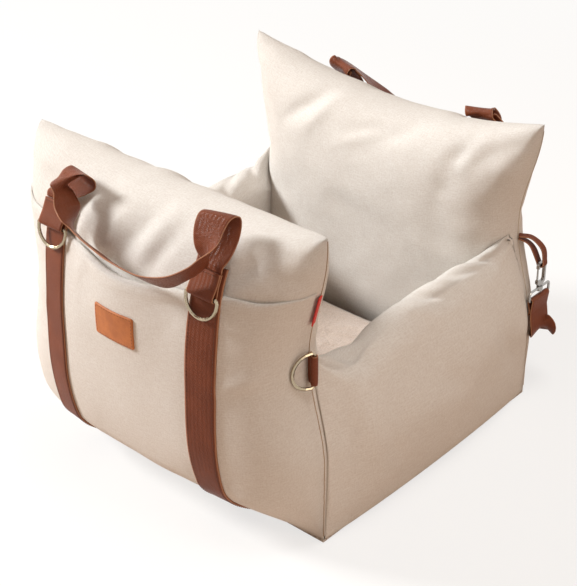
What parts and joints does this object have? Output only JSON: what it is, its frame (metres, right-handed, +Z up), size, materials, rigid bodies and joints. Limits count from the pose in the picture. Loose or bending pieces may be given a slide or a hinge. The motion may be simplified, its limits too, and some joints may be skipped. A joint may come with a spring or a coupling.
{
  "type": "dog car bed",
  "caption": "Tote-shaped fabric dog bed for a car seat: two tall stuffed walls, two side bolsters, plush seat, webbing handles, rings and a clip-on fixing strap.",
  "frame": {"origin": "on the underside, in the middle of the base panel", "axes": "+X to the right seen from the front, +Y from the front wall to the back wall, +Z up"},
  "size_m": [0.5208, 0.6746, 0.4551],
  "materials": {
    "canvas": "matte",
    "filling": "matte",
    "plush": "matte",
    "base_cloth": "matte",
    "webbing": "satin",
    "leather": "satin",
    "tag": "matte",
    "ring_metal": "polished",
    "hook_metal": "polished"
  },
  "bodies": {
    "bed": {"base_panel": "base_cloth", "front_wall_cover": "canvas", "front_wall_filling": "filling", "back_wall_cover": "canvas", "back_wall_filling": "filling", "left_bolster_cover": "canvas", "left_bolster_filling": "filling", "right_bolster_cover": "canvas", "right_bolster_filling": "filling", "front_pocket": "canvas", "leather_patch": "leather", "side_tag": "tag", "front_strap_left": "webbing", "front_strap_right": "webbing", "back_strap_left": "webbing", "back_strap_right": "webbing", "front_ring_keeper_left": "webbing", "front_ring_keeper_right": "webbing", "back_ring_keeper_left": "webbing", "back_ring_keeper_right": "webbing", "corner_tab_left": "webbing", "corner_tab_right": "webbing"},
    "seat": {"seat_cushion_cover": "plush", "seat_cushion_foam": "filling"},
    "front_handle": {"front_handle": "webbing"},
    "back_handle": {"back_handle": "webbing"},
    "front_ring_left": {"front_ring_left": "ring_metal"},
    "front_ring_right": {"front_ring_right": "ring_metal"},
    "back_ring_left": {"back_ring_left": "ring_metal"},
    "back_ring_right": {"back_ring_right": "ring_metal"},
    "corner_ring_left": {"corner_ring_left": "ring_metal"},
    "corner_ring_right": {"corner_ring_right": "ring_metal"},
    "strap": {"fixing_strap": "webbing", "rear_loop_left": "webbing", "rear_loop_right": "webbing", "swivel_eye_left": "hook_metal", "swivel_eye_right": "hook_metal"},
    "hook_left": {"snap_hook_left": "hook_metal"},
    "hook_right": {"snap_hook_right": "hook_metal"},
    "gate_left": {"hook_gate_left": "hook_metal"},
    "gate_right": {"hook_gate_right": "hook_metal"}
  },
  "joints": [
    {"name": "seat_lift", "type": "slide", "parent": "bed", "child": "seat", "axis": [0, 0, 1], "range_m": [0, 0.3]},
    {"name": "front_handle_swing", "type": "hinge", "parent": "bed", "child": "front_handle", "pos_m": [0, -0.2918, 0.3802], "axis": [1, 0, 0], "range_deg": [-22, 0]},
    {"name": "back_handle_swing", "type": "hinge", "parent": "bed", "child": "back_handle", "pos_m": [0, 0.2708, 0.3518], "axis": [1, 0, 0], "range_deg": [0, 22]},
    {"name": "front_ring_left_swing", "type": "hinge", "parent": "bed", "child": "front_ring_left", "pos_m": [-0.125, -0.3042, 0.352], "axis": [1, 0, 0], "range_deg": [-95, 0]},
    {"name": "front_ring_right_swing", "type": "hinge", "parent": "bed", "child": "front_ring_right", "pos_m": [0.125, -0.3042, 0.352], "axis": [1, 0, 0], "range_deg": [-95, 0]},
    {"name": "back_ring_left_swing", "type": "hinge", "parent": "bed", "child": "back_ring_left", "pos_m": [-0.125, 0.2829, 0.3235], "axis": [1, 0, 0], "range_deg": [0, 95]},
    {"name": "back_ring_right_swing", "type": "hinge", "parent": "bed", "child": "back_ring_right", "pos_m": [0.125, 0.2829, 0.3235], "axis": [1, 0, 0], "range_deg": [0, 95]},
    {"name": "corner_ring_left_swing", "type": "hinge", "parent": "bed", "child": "corner_ring_left", "pos_m": [-0.22063, -0.2203, 0.25], "axis": [0, 0, 1], "range_deg": [-110, 0]},
    {"name": "corner_ring_right_swing", "type": "hinge", "parent": "bed", "child": "corner_ring_right", "pos_m": [0.22063, -0.2203, 0.25], "axis": [0, 0, 1], "range_deg": [0, 110]},
    {"name": "fixing_strap_swing", "type": "hinge", "parent": "bed", "child": "strap", "pos_m": [0, 0.211, 0.244], "axis": [1, 0, 0], "range_deg": [0, 60]},
    {"name": "hook_left_swivel", "type": "hinge", "parent": "strap", "child": "hook_left", "pos_m": [-0.2395, 0.229, 0.1677], "axis": [0, 0, 1], "range_deg": [-8, 8]},
    {"name": "hook_right_swivel", "type": "hinge", "parent": "strap", "child": "hook_right", "pos_m": [0.2395, 0.229, 0.1677], "axis": [0, 0, 1], "range_deg": [-8, 8]},
    {"name": "gate_left_open", "type": "hinge", "parent": "hook_left", "child": "gate_left", "pos_m": [-0.2395, 0.22145, 0.18], "axis": [1, 0, 0], "range_deg": [-28, 0], "stiffness_Nm_per_rad": 0.02},
    {"name": "gate_right_open", "type": "hinge", "parent": "hook_right", "child": "gate_right", "pos_m": [0.2395, 0.22145, 0.18], "axis": [1, 0, 0], "range_deg": [-28, 0], "stiffness_Nm_per_rad": 0.02}
  ]
}
